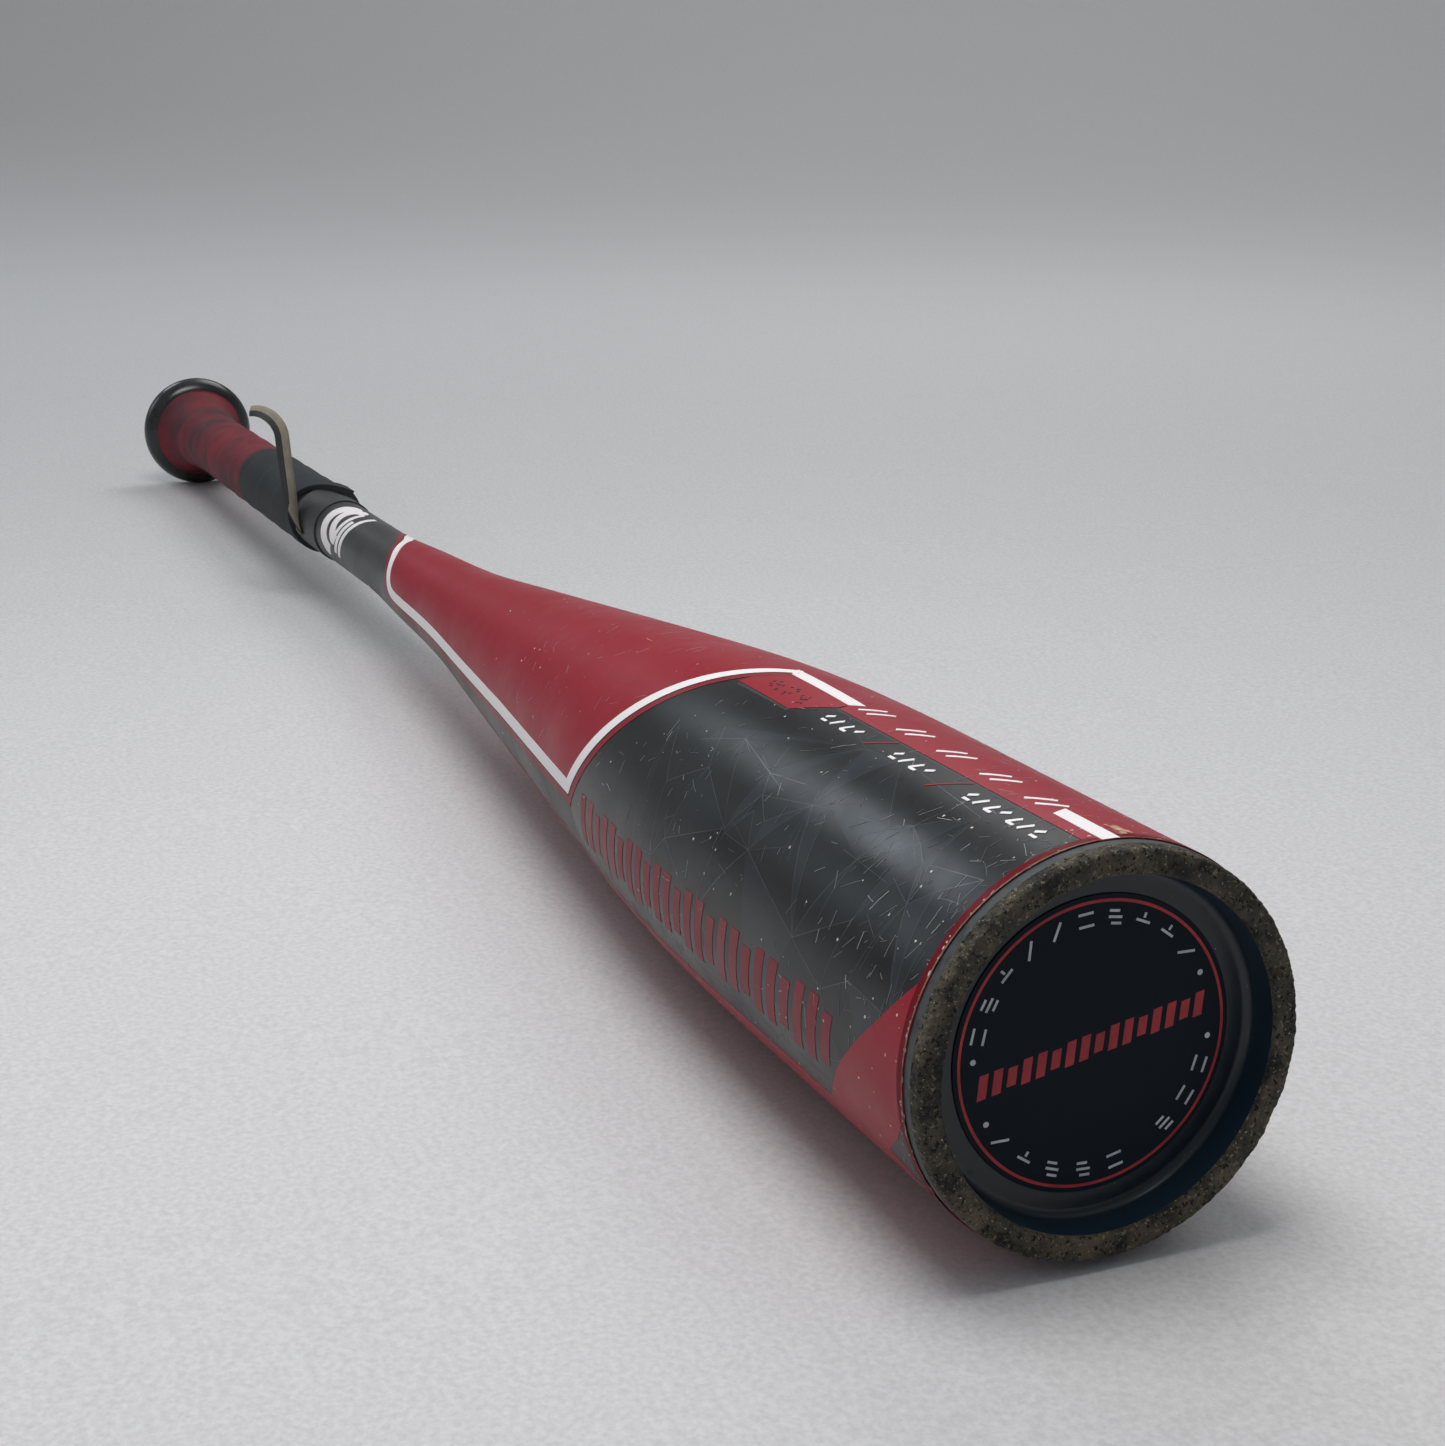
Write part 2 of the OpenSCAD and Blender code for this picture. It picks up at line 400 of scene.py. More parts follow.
def effect(name, outputs, colours=(), **values):
    """A node group with inputs for the place, for numbers and for colours, and named outputs.

    Returns it, the sockets to read in it and the sockets to feed in it."""
    group = bpy.data.node_groups.new(name, "ShaderNodeTree")
    group.interface.new_socket("Where", in_out="INPUT", socket_type=VECTOR)
    for key, value in values.items():
        group.interface.new_socket(key, in_out="INPUT", socket_type=VALUE).default_value = value
    for key in colours:
        group.interface.new_socket(key, in_out="INPUT", socket_type=COLOUR)
    for key, kind in outputs.items():
        group.interface.new_socket(key, in_out="OUTPUT", socket_type=kind)
    return group, group.nodes.new("NodeGroupInput").outputs, group.nodes.new("NodeGroupOutput").inputs


def cloud(group, given, detail, roughness):
    """Noise at the place and scale an effect is given."""
    return node(group, "TexNoise", Vector=given["Where"], Scale=given["Scale"], Detail=detail,
                Roughness=roughness).outputs["Fac"]


def make_flecks():
    """Flecks of dust or bare metal: a mask of noise above a threshold."""
    group, given, out = effect("Flecks", {"Mask": VALUE}, Scale=900.0, Cover=0.2, Soft=0.08)
    edge = maths(group, "SUBTRACT", 1.0, given["Cover"])
    mask = node(group, "MapRange", {"interpolation_type": "SMOOTHSTEP"},
                Value=cloud(group, given, 4.0, 0.65), From_Min=edge,
                From_Max=maths(group, "ADD", edge, given["Soft"]))
    feed(group, out["Mask"], mask.outputs[0])
    return group


def make_mottle():
    """Two colours mixed by soft noise."""
    blur = 0.16
    group, given, out = effect("Mottle", {"Colour": COLOUR, "Mask": VALUE}, ("One", "Other"),
                               Scale=30.0, Share=0.5)
    middle = maths(group, "SUBTRACT", 1.0, given["Share"])
    mask = node(group, "MapRange", Value=cloud(group, given, 5.0, 0.6),
                From_Min=maths(group, "SUBTRACT", middle, blur),
                From_Max=maths(group, "ADD", middle, blur)).outputs[0]
    feed(group, out["Colour"], blend(group, mask, given["One"], given["Other"]))
    feed(group, out["Mask"], mask)
    return group


def make_grain():
    """A fine uneven surface, as a normal."""
    group, given, out = effect("Grain", {"Normal": VECTOR}, Scale=700.0, Depth=0.05, Strength=0.2)
    bump = node(group, "Bump", Strength=given["Strength"], Height=cloud(group, given, 3.0, 0.5),
                Distance=maths(group, "MULTIPLY", given["Depth"], MM))
    feed(group, out["Normal"], bump.outputs[0])
    return group


FLECKS = make_flecks()
MOTTLE = make_mottle()
GRAIN = make_grain()


class Finish:
    """A material being made: a principled shader, object coordinates and the shared effects."""

    def __init__(self, name, colour, roughness, **values):
        self.material = bpy.data.materials.new(name)
        self.material.use_nodes = True
        self.tree = self.material.node_tree
        self.shader = self.tree.nodes["Principled BSDF"].inputs
        self.where = self.add("TexCoord").outputs["Object"]
        self.colour = colour
        for key, value in {"Roughness": roughness, **values}.items():
            self.shader[key.replace("_", " ")].default_value = value

    def add(self, kind, settings=None, **inputs):
        """Adds a node to the material."""
        return node(self.tree, kind, settings, **inputs)

    def group(self, shared, **inputs):
        """The outputs of a shared effect at the material's coordinates."""
        return self.add("Group", {"node_tree": shared}, Where=self.where, **inputs).outputs

    def math(self, operation, *values):
        """The result of a maths node in the material."""
        return maths(self.tree, operation, *values)

    def ramp(self, value, start, end):
        """A mask that rises while a value goes from start to end."""
        return self.add("MapRange", Value=value, From_Min=start, From_Max=end).outputs[0]

    def along(self, start, end):
        """A mask that rises along the bat from one x in millimetres to another."""
        return self.ramp(self.add("SeparateXYZ", Vector=self.where).outputs["X"], start * MM, end * MM)

    def cover(self, mask, colour):
        """Lays a colour over what is there by a mask."""
        self.colour = blend(self.tree, mask, self.colour, colour)

    def flecks(self, colour, share, scale, cover, soft=0.08):
        """Lays flecks of a colour over what is there."""
        mask = self.group(FLECKS, Scale=scale, Cover=cover, Soft=soft)["Mask"]
        self.cover(self.math("MULTIPLY", mask, share), colour)

    def scuffs(self, colour, run, gain, least, scale, cover):
        """Lays flecks of a worn colour that get stronger over a last run of the barrel."""
        near = self.along(SHELL_END - run, SHELL_END)
        self.flecks(colour, self.math("MULTIPLY_ADD", near, gain, least), scale, cover, 0.06)

    def roughen(self, mask, smooth, rough):
        """Roughness between two values by a mask."""
        ramp = self.add("MapRange", Value=mask, To_Min=smooth, To_Max=rough)
        feed(self.tree, self.shader["Roughness"], ramp.outputs[0])

    def blotch(self, scale, share=0.5):
        """A mask of soft patches."""
        return self.group(MOTTLE, Scale=scale, Share=share)["Mask"]

    def uneven(self, scale, depth, strength=0.25):
        """Fine bumps in the surface."""
        grain = self.group(GRAIN, Scale=scale, Depth=depth, Strength=strength)
        feed(self.tree, self.shader["Normal"], grain["Normal"])

    def tone(self, colour):
        """Lays a colour over what is there by each face's tone."""
        self.cover(self.add("Attribute", {"attribute_name": "tone"}).outputs["Fac"], colour)

    def done(self):
        """The finished material."""
        feed(self.tree, self.shader["Base Color"], self.colour)
        return self.material


def worn_paint(name, colour, worn, roughness, wear=1.0, haze=None):
    """Satin paint with scuffs that get denser towards the cap."""
    paint = Finish(name, colour, roughness, Specular_IOR_Level=0.26)
    if haze:
        paint.cover(paint.math("MULTIPLY", paint.blotch(22.0, 0.36), 0.16), haze)
    paint.scuffs(worn, 190, 0.5 * wear, 0.16 * wear, 1500.0, 0.31)
    paint.roughen(paint.blotch(45.0), roughness - 0.05, roughness + 0.08)
    paint.uneven(160.0, 0.012, 0.2)
    return paint.done()


RED_PAINT = worn_paint("red_paint", (148, 2, 30), (206, 130, 138), 0.38, 0.8, (180, 74, 92))
OUTLINE_RED = worn_paint("outline_red", (134, 12, 32), (190, 120, 126), 0.38, 0.5)
WORD_RED = worn_paint("bar_red", (126, 14, 32), (170, 110, 112), 0.4, 0.5)
CHARCOAL = worn_paint("charcoal_paint", (58, 59, 60), (150, 152, 154), 0.36, 0.8)
WHITE_PAINT = worn_paint("white_paint", (245, 240, 240), (200, 190, 190), 0.45, 0.6)
INK = worn_paint("dark_ink", (30, 24, 27), (90, 80, 82), 0.45, 0.4)


def make_panel_black():
    """The black panel: facets of slightly different greys under the same worn lacquer. Their lighter bluish
    grey is partly print and partly a painted sheen.
    """
    paint = Finish("panel_black", (15, 16, 17), 0.3, Specular_IOR_Level=0.36)
    # Lighter bluish grey by each facet's tone: partly print, partly painted sheen where the highlight falls.
    paint.tone((34, 39, 44))
    paint.scuffs((150, 150, 146), 150, 0.42, 0.1, 1700.0, 0.3)
    paint.roughen(paint.blotch(35.0), 0.25, 0.4)
    paint.uneven(140.0, 0.012, 0.2)
    return paint.done()


def make_scratch():
    """Scratched lacquer, from a dull mark to a bright cut by each scratch's tone."""
    cut = Finish("scratch", (112, 116, 120), 0.5)
    cut.tone((205, 208, 210))
    return cut.done()


def plain(name, colour, other, roughness, scale=60.0, bumps=0.0, bump_scale=700.0, **values):
    """A material of two close colours mixed by noise, with an optional fine grain."""
    made = Finish(name, colour, roughness, **values)
    mottled = made.group(MOTTLE, Scale=scale, Share=0.5, One=colour, Other=other)
    made.colour = mottled["Colour"]
    made.roughen(mottled["Mask"], roughness - 0.05, roughness + 0.07)
    if bumps:
        made.uneven(bump_scale, bumps, 0.4)
    return made.done()


PANEL_BLACK = make_panel_black()
SCRATCH = make_scratch()
FACET_LINE = plain("facet_line", (84, 90, 95), (46, 50, 54), 0.3)
NICK = plain("bare_nick", (222, 214, 204), (160, 150, 138), 0.55, 500.0)
CHIP = plain("paint_chip", (206, 168, 140), (150, 84, 74), 0.6, 500.0)
BARE_METAL = plain("bare_aluminium", (176, 178, 180), (150, 152, 155), 0.4, 60.0, Metallic=1.0)
WELD_METAL = plain("weld_bead", (150, 148, 144), (96, 94, 92), 0.45, 300.0, 0.08, Metallic=1.0)
ADHESIVE = plain("cap_adhesive", (90, 84, 70), (120, 112, 92), 0.5, 200.0)
PLUG_RUBBER = plain("plug_rubber", (34, 34, 35), (48, 48, 49), 0.6, 90.0, 0.03)
BADGE_FILM = plain("badge_film", (60, 61, 63), (84, 84, 86), 0.35, 70.0)
DECAL_FILM = plain("decal_film", (8, 21, 30), (12, 26, 36), 0.5, 80.0, 0.01, 900.0, Specular_IOR_Level=0.12)
DECAL_RED = plain("decal_red", (178, 22, 36), (146, 18, 32), 0.45, 120.0)
DECAL_GREY = plain("decal_grey", (198, 204, 206), (168, 174, 178), 0.4, 200.0)
TAPE_DARK = plain("tape_outside", (42, 43, 45), (58, 58, 59), 0.5, 60.0, 0.03)
TAPE_TAN = plain("tape_backing", (150, 142, 124), (112, 106, 94), 0.7, 90.0, 0.04)


def make_knob_paint():
    """Black gloss paint, rubbed and dusty in patches."""
    paint = Finish("knob_paint", (20, 21, 23), 0.24, Specular_IOR_Level=0.6)
    rub = paint.blotch(55.0, 0.42)
    paint.cover(paint.math("MULTIPLY", rub, 0.35), (74, 75, 77))
    paint.flecks((140, 138, 134), 0.5, 1300.0, 0.32)
    paint.roughen(rub, 0.2, 0.4)
    paint.uneven(150.0, 0.01, 0.2)
    return paint.done()


def make_moulding():
    """The cap's blue-black plastic: glossy wall, dusty floor darkened by painted shade, scuffed side."""
    plastic = Finish("cap_moulding", (25, 46, 60), 0.3, Specular_IOR_Level=0.5)
    parts = plastic.add("SeparateXYZ", Vector=plastic.where).outputs
    side = plastic.math("MULTIPLY", parts["Y"], parts["Y"])
    radius = plastic.math("SQRT", plastic.math("MULTIPLY_ADD", parts["Z"], parts["Z"], side))
    outer = plastic.ramp(radius, (CAP_R - 1.4) * MM, (CAP_R - 0.8) * MM)
    scuffed = plastic.group(MOTTLE, Scale=420.0, Share=0.62, One=(26, 31, 35), Other=(66, 70, 72))
    plastic.cover(outer, scuffed["Colour"])
    low = plastic.along(CAP_FLOOR + 1.7, CAP_FLOOR + 0.2)
    # Painted shade: darker navy laid over the recess floor, strongest at the bottom of the dish.
    plastic.cover(plastic.math("MULTIPLY", low, 0.8), (9, 18, 27))
    grit = plastic.group(FLECKS, Scale=700.0, Cover=0.47, Soft=0.25)
    dusty = plastic.math("MULTIPLY", low, grit["Mask"])
    plastic.cover(plastic.math("MULTIPLY", dusty, 0.3), (40, 46, 50))
    plastic.flecks((200, 204, 202), plastic.math("MULTIPLY", low, 0.5), 1100.0, 0.3, 0.04)
    plastic.roughen(plastic.math("MAXIMUM", outer, dusty), 0.3, 0.6)
    plastic.uneven(260.0, 0.03)
    return plastic.done()


def make_worn_rim():
    """The cap's rim, scoured by the ground: grit of brown, tan and grey on torn dark plastic."""
    rim = Finish("worn_rim", (30, 31, 30), 0.8, Specular_IOR_Level=0.3)
    rim.colour = rim.group(MOTTLE, Scale=190.0, Share=0.5, One=(36, 37, 36), Other=(96, 88, 73))["Colour"]
    for colour, scale, cover, soft in (
        ((122, 113, 92), 1150.0, 0.42, 0.06),
        ((18, 19, 19), 1300.0, 0.45, 0.06),
        ((190, 183, 162), 1700.0, 0.34, 0.03),
    ):
        rim.flecks(colour, 1.0, scale, cover, soft)
    rim.uneven(1500.0, 0.5, 0.9)
    return rim.done()


def make_grip_wrap():
    """Wound grip tape: red at the knob, charcoal beyond, grubby with handling."""
    tape = Finish("grip_wrap", (120, 34, 46), 0.7, Specular_IOR_Level=0.35)
    tape.colour = tape.group(MOTTLE, Scale=48.0, Share=0.5, One=(128, 28, 42), Other=(72, 32, 38))["Colour"]
    dark = tape.group(MOTTLE, Scale=40.0, Share=0.5, One=(29, 33, 36), Other=(40, 44, 47))
    tape.cover(tape.along(GRIP_END - 96, GRIP_END - 90), dark["Colour"])
    tape.flecks((28, 24, 26), 0.4, 1200.0, 0.4, 0.1)
    tape.uneven(1300.0, 0.12, 0.5)
    return tape.done()


KNOB_PAINT = make_knob_paint()
MOULDING = make_moulding()
WORN_RIM = make_worn_rim()
GRIP_WRAP = make_grip_wrap()


# ---------------------------------------------------------------- shell, knob and cap

random.seed(20)


def make_shell():
    """The aluminium shell as one closed turned tube, open at both ends."""
    step, chamfer, segments = 2.5, 0.25, 192
    length = SHELL_END - SHELL_START
    count = int(length / step)
    outline = [(x, shell_radius(x)) for x in (SHELL_START + length * k / count for k in range(count))]
    outline += [(SHELL_END - chamfer, BARREL_R), (SHELL_END, BARREL_R - chamfer)]
    bare_start = (len(outline) - 1) * segments
    points, faces = lathe(outline + BORE[::-1], segments)
    picks = [1 if min(face) >= bare_start else 0 for face in faces]
    return piece("barrel_shell_painted", points, faces, [CHARCOAL, BARE_METAL],
                 ["barrel_shell"], picks)


KNOB_RIM = 6.2
NECK_X = KNOB_FACE + 2 * KNOB_RIM
NECK_R = max(radius for x, radius in stations("knob", max)) - KNOB_RIM
COLLAR_R = KNOB_WELD_R
WELD_RUN = 6


def collar_radius(x):
    """Radius of what the grip is wound on: the knob's flare, then the handle."""
    if x < KNOB_END:
        return COLLAR_R + (NECK_R - COLLAR_R) * ((KNOB_END - x) / (KNOB_END - NECK_X)) ** 3
    fall = min((x - KNOB_END) / WELD_RUN, 1)
    return COLLAR_R - (COLLAR_R - HANDLE_R) * fall * fall * (3 - 2 * fall)


def make_knob():
    """The knob: flat face, round rim and a flare that runs into the handle."""
    rim_steps, collar_steps, segments = 36, 28, 144
    outline = [(PLUG_END, PLUG_R), (KNOB_FACE, PLUG_R)]
    outline += bow(KNOB_FACE + KNOB_RIM, NECK_R, KNOB_RIM, -90, 90, rim_steps)
    for k in range(1, collar_steps + 1):
        x = NECK_X + (KNOB_END - NECK_X) * k / collar_steps
        outline.append((x, collar_radius(x)))
    outline += [(KNOB_END, HANDLE_R), (PLUG_END, HANDLE_R)]
    points, faces = lathe(outline, segments)
    return piece("knob_body", points, faces, [KNOB_PAINT], ["knob"])


EDGE_R = 0.8
LIP_R = 0.6
FOOT_R = 1.6
MOUTH_R = 29.0
LEAN = 0.4
SKIRT_R = BORE_R - 0.3
WEAR_START = SHELL_END + 1.8
WEAR_DEPTH = 0.4


def rim_outline():
    """The cap's worn outside: from its side, round the rim and a little down the wall."""
    side = [(WEAR_START + (RIM_X - EDGE_R - WEAR_START) * k / 6, CAP_R) for k in range(6)]
    edge = bow(RIM_X - EDGE_R, CAP_R - EDGE_R, EDGE_R, 0, 90, 14)
    face = [(RIM_X, CAP_R - EDGE_R + (MOUTH_R + LIP_R - CAP_R + EDGE_R) * k / 6) for k in range(1, 6)]
    lip = bow(RIM_X - LIP_R, MOUTH_R + LIP_R, LIP_R, 90, 180, 8)
    down = [(RIM_X - LIP_R - WEAR_DEPTH * k / 5, MOUTH_R - 0.08 * k / 5) for k in range(1, 6)]
    return side + edge + face + lip + down


def make_cap():
    """The moulded cap: skirt inside the barrel, dished front and stiffening hub."""
    skirt_wall, floor_wall, lead_in, lead_run = 2.4, 2.4, 0.6, 1.2
    hub_r, hub_length = 6.0, 7
    floor_back = CAP_FLOOR - floor_wall
    hub_x = floor_back - hub_length
    sunk = 0.7  # how far this body stays under the gritty ring that covers its rim
    segments, ribs, thickness, rooted = 240, 8, 1.6, 1
    rim = rim_outline()
    under = [(rim[0][0], CAP_R - sunk), (RIM_X - EDGE_R, CAP_R - sunk - 0.4), (RIM_X - sunk, CAP_R - EDGE_R),
             (RIM_X - sunk, MOUTH_R + LIP_R), (rim[-1][0], MOUTH_R + sunk)]
    outline = [(CAP_BACK, SKIRT_R - skirt_wall), (CAP_BACK, SKIRT_R - lead_in),
               (CAP_BACK + lead_run, SKIRT_R), (SHELL_END, SKIRT_R), (SHELL_END, CAP_R), rim[0]]
    outline += under + [rim[-1]]
    wall_top, wall_foot = rim[-1], (CAP_FLOOR + FOOT_R, MOUTH_R - LEAN)
    outline += [(wall_top[0] + (wall_foot[0] - wall_top[0]) * k / 5,
                 wall_top[1] + (wall_foot[1] - wall_top[1]) * k / 5) for k in range(1, 5)]
    outline += bow(CAP_FLOOR + FOOT_R, MOUTH_R - LEAN - FOOT_R, FOOT_R, 0, -90, 8)
    outline += [(CAP_FLOOR, 26.0), (CAP_FLOOR, DECAL_R), (CAP_FLOOR, 12.0), (CAP_FLOOR, 0), (hub_x, 0),
                (hub_x, hub_r), (floor_back, hub_r), (floor_back, SKIRT_R - skirt_wall)]
    points, faces = lathe(outline, segments)
    for k in range(ribs):
        angle = 360 * k / ribs
        side = round_bat(0, thickness / 2, angle + 90)
        first = len(points)
        for radius, x0 in ((hub_r - rooted, hub_x), (SKIRT_R - skirt_wall + rooted, floor_back - 2)):
            for x in (x0, floor_back + rooted):
                for way in (-1, 1):
                    points.append(round_bat(x, radius, angle) + side * way)
        for corners in ((0, 1, 3, 2), (4, 6, 7, 5), (0, 4, 5, 1), (2, 3, 7, 6), (0, 2, 6, 4), (1, 5, 7, 3)):
            faces.append(tuple(first + c for c in corners))
    return piece("cap_body", points, faces, [MOULDING], ["end_cap"])


def make_cap_rim():
    """The rim as a ring of torn, gritty plastic."""
    profile = rim_outline()
    core = Vector((RIM_X - 2.2, (CAP_R + MOUTH_R) / 2))
    segments, fade_steps, thick, highest = 720, 5, 1.0, 0.02
    points, faces = [], []
    count = len(profile)
    closing = [(profile[-1][0], MOUTH_R + thick), (profile[0][0], CAP_R - thick)]
    for k in range(segments):
        angle = 360 * k / segments
        for i, (x, radius) in enumerate(profile):
            spot = round_bat(x, radius, angle)
            share = min(1.0, min(i, count - 1 - i) / fade_steps)
            rough = noise.fractal(spot * 0.9, 0.7, 2.1, 5)
            lumps = noise.noise(spot * 0.22)
            off = min(share * (0.16 * (rough - 0.75) + 0.14 * (lumps - 0.6)), highest)
            way = (Vector((x, radius)) - core).normalized()
            points.append(round_bat(x + way.x * off, radius + way.y * off, angle))
        for x, radius in closing:
            points.append(round_bat(x, radius, angle))
    row = count + len(closing)
    for k in range(segments):
        faces += strip(row, k * row, (k + 1) % segments * row)
    return piece("cap_rim", points, faces, [WORN_RIM], sharp=math.radians(70))


make_shell()
make_knob()
make_cap()
make_cap_rim()
decal_points, decal_faces = lathe(
    [(CAP_FLOOR, 0), (CAP_FLOOR, DECAL_R), (DECAL_FACE - 0.08, DECAL_R), (DECAL_FACE, DECAL_R - 0.08),
     (DECAL_FACE, 12), (DECAL_FACE, 0)], 192)
piece("decal_disc", decal_points, decal_faces, [DECAL_FILM], ["cap_decal"])


# ---------------------------------------------------------------- painted panels

def at(*spots):
    """Spots given as (distance back from the barrel's end, degrees), as (x, degrees)."""
    return [(SHELL_END - back, a) for back, a in spots]


def smooth(points, pieces=6):
    """A smooth line through points."""
    line = []
    held = points[:1] + points + points[-1:]
    for spots in zip(held, held[1:], held[2:], held[3:]):
        for k in range(pieces):
            t = k / pieces
            line.append(tuple(
                0.5 * (2 * b + (c - a) * t + (2 * a - 5 * b + 4 * c - d) * t * t
                       + (3 * b - a - 3 * c + d) * t ** 3)
                for a, b, c, d in zip(*spots)
            ))
    return line + [points[-1]]


BOTH_SIDES = (0.0, 180.0)
FIELD_TIP = smooth(at((417.5, 48), (414.5, 35), (406.5, 17), (397.5, 0), (390.6, -25), (384.5, -45),
                      (379.5, -68), (376, -82), (372.5, -88.5), (367, -91)))
V_POINT = at((162.5, -89))[0]
FIELD_CORNER = at((115.8, 5))[0]
WHITE_LINE = FIELD_TIP + at((358, -91.5), (300, -90), (230, -88)) + [V_POINT, FIELD_CORNER]
PANEL_TOP = -6.0
FAR_EDGE = 62.0


def panel_outline():
    """The black panel, with its corner cut for the red tab."""
    return at((160, -88), (119.5, -14), (118.5, -17.5), (94, -18), (86, -7), (0.6, -7), (0.6, -131),
              (12, -120), (160, -119))


def make_fields():
    """The two red fields of the bat, each on half of its girth."""
    field = Print(0.085)
    shape = FIELD_TIP + at((300, -90), (230, -88)) + [V_POINT, FIELD_CORNER]
    shape += at((113, 0), (86.5, -2), (85.5, PANEL_TOP), (0.1, PANEL_TOP), (0.1, 49), (12.5, 60.5),
                (24, FAR_EDGE), (157, FAR_EDGE), (214, 63), (300, 60), (371, 54), (405, 50))
    field_shape = patch(shape)
    tab = patch(at((119.5, -16), (94, -17), (86.5, PANEL_TOP), (86.5, -1), (113, 1), (116.5, 4)))
    stripe = patch(at((0.1, -60.5), (9, -78), (22, -99), (33, -120), (12.9, -120.5), (5, -110), (0.1, -99)))
    tabs = Print(0.115)
    for turn in BOTH_SIDES:
        field.lay(field_shape, turn)
        tabs.lay(tab, turn)
        tabs.lay(stripe, turn)
    field.make("red_fields", RED_PAINT)
    tabs.make("red_tabs", RED_PAINT)


def make_lines():
    """White outline of the fields, with a fine dark line and a red one outside it."""
    white, dark, red = Print(0.18), Print(0.16), Print(0.14)
    for turn in BOTH_SIDES:
        red.lay(ribbon(WHITE_LINE, 2.2, 2, shift=-2.7), turn)
        dark.lay(ribbon(WHITE_LINE, 0.5, 1, shift=-1.62), turn)
        white.lay(ribbon(WHITE_LINE, 3.0, 2), turn)
        white.lay(patch(at((114.5, 0.2), (86.5, -2), (84.5, 2.4), (118.5, 6))), turn)
        white.lay(patch(at((14.5, -1.7), (0.2, -1.7), (0.2, 3.6), (16, 3.6))), turn)
    red.make("outline_red", OUTLINE_RED)
    dark.make("outline_dark", INK)
    white.make("outline_white", WHITE_PAINT)


def make_marks():
    """Small white signs in place of words: bars and chevrons."""
    white, red, dark = Print(0.18), Print(0.125), Print(0.15)
    thin = 0.95
    signs = [[(start, -1.6), (start - 3.2, 5.7)] for first in (83, 68, 53, 38, 23.5)
             for start in (first, first - 3.4)]
    rows = ((83.5, 4, 3.9), (56.5, 4, 3.7), (30.5, 7, 3.5))
    for turn in BOTH_SIDES:
        for sign in signs:
            white.lay(ribbon(at(*sign), thin), turn)
        for start, count, pitch in rows:
            for k in range(count):
                back = start - k * pitch
                low = -14.2 if k % 3 else -12.2
                white.lay(ribbon(at((back, low), (back - 1.5, -10.2)), 0.8), turn)
                if k % 2 == 0:
                    white.lay(ribbon(at((back - 0.2, -14), (back - 2.2, -14)), 0.6), turn)
        for line in (((65.8, -14.7), (60.8, -6.9)), ((40.1, -17), (34.2, -6.9))):
            red.lay(ribbon(at(*line), 0.45), turn)
        for k in range(26):
            back = random.uniform(94, 113)
            a = -12.5 + random.uniform(0, 5.5)
            size = random.uniform(0.35, 0.8)
            line = at((back, a), (back - size, a + random.uniform(-0.8, 0.8)))
            dark.lay(ribbon(line, random.uniform(0.3, 0.7)), turn)
    white.make("small_signs", WHITE_PAINT)
    red.make("divider_lines", RED_PAINT)
    dark.make("tab_marks", INK)


def slanted_bars(count, width, height, lean, pattern):
    """Racing bars leaning forward, as outlines in millimetres from the group's lower left corner."""
    bars = []
    for k in range(count):
        low, high = pattern[k % len(pattern)]
        left = k * width
        thick = width * 0.62
        bars.append([(left + lean * low, height * low), (left + thick + lean * low, height * low),
                     (left + thick + lean * high, height * high), (left + lean * high, height * high)])
    return bars


BAR_PATTERN = ((0, 1), (0, 1), (0.12, 0.88))


def make_bands():
    """A band of slanted red bars along the lower part of each black panel."""
    red = Print(0.115)
    per_degree = math.radians(1) * BARREL_R
    for turn in BOTH_SIDES:
        for corners in slanted_bars(24, 5.35, 12.4, 3.2, BAR_PATTERN):
            red.lay(patch(at(*[(153.5 - x, -106.5 + y / per_degree) for x, y in corners])), turn)
    red.make("red_bars", WORD_RED)


def make_emblem():
    """A white emblem on the handle: two crescents over slanted bars."""
    white = Print(0.1)
    per_degree = math.radians(1) * HANDLE_R
    middle_x, middle_a = SHELL_END - 455, -43

    def spot(x, y):
        return (middle_x + x, middle_a + y / per_degree)

    for size, thick, dx, dy in ((10.8, 5.2, -7.0, -1.5), (8.6, 4.2, 0.5, 1.0)):
        outer = [(size * math.cos(g), size * math.sin(g)) for g in
                 (math.radians(65 + 215 * k / 24) for k in range(25))]
        inner = [(x * 0.78 + thick * 0.85, y * 0.62) for x, y in outer[::-1]]
        shape = [spot(dx + x, dy + y) for x, y in outer + inner[1:-1]]
        white.lay(patch(shape, 1.5, 2.0, 6.0))
    for k, (low, high) in enumerate(((-7.5, 7.0), (-9.8, 2.5), (-10.5, 8.5))):
        left = 1.5 + k * 4.6
        shape = [spot(left + 0.35 * low, low), spot(left + 3.0 + 0.35 * low, low),
                 spot(left + 3.0 + 0.35 * high, high), spot(left + 0.35 * high, high)]
        white.lay(patch(shape, 1.5, 2.0, 6.0))
    white.make("handle_emblem", WHITE_PAINT)


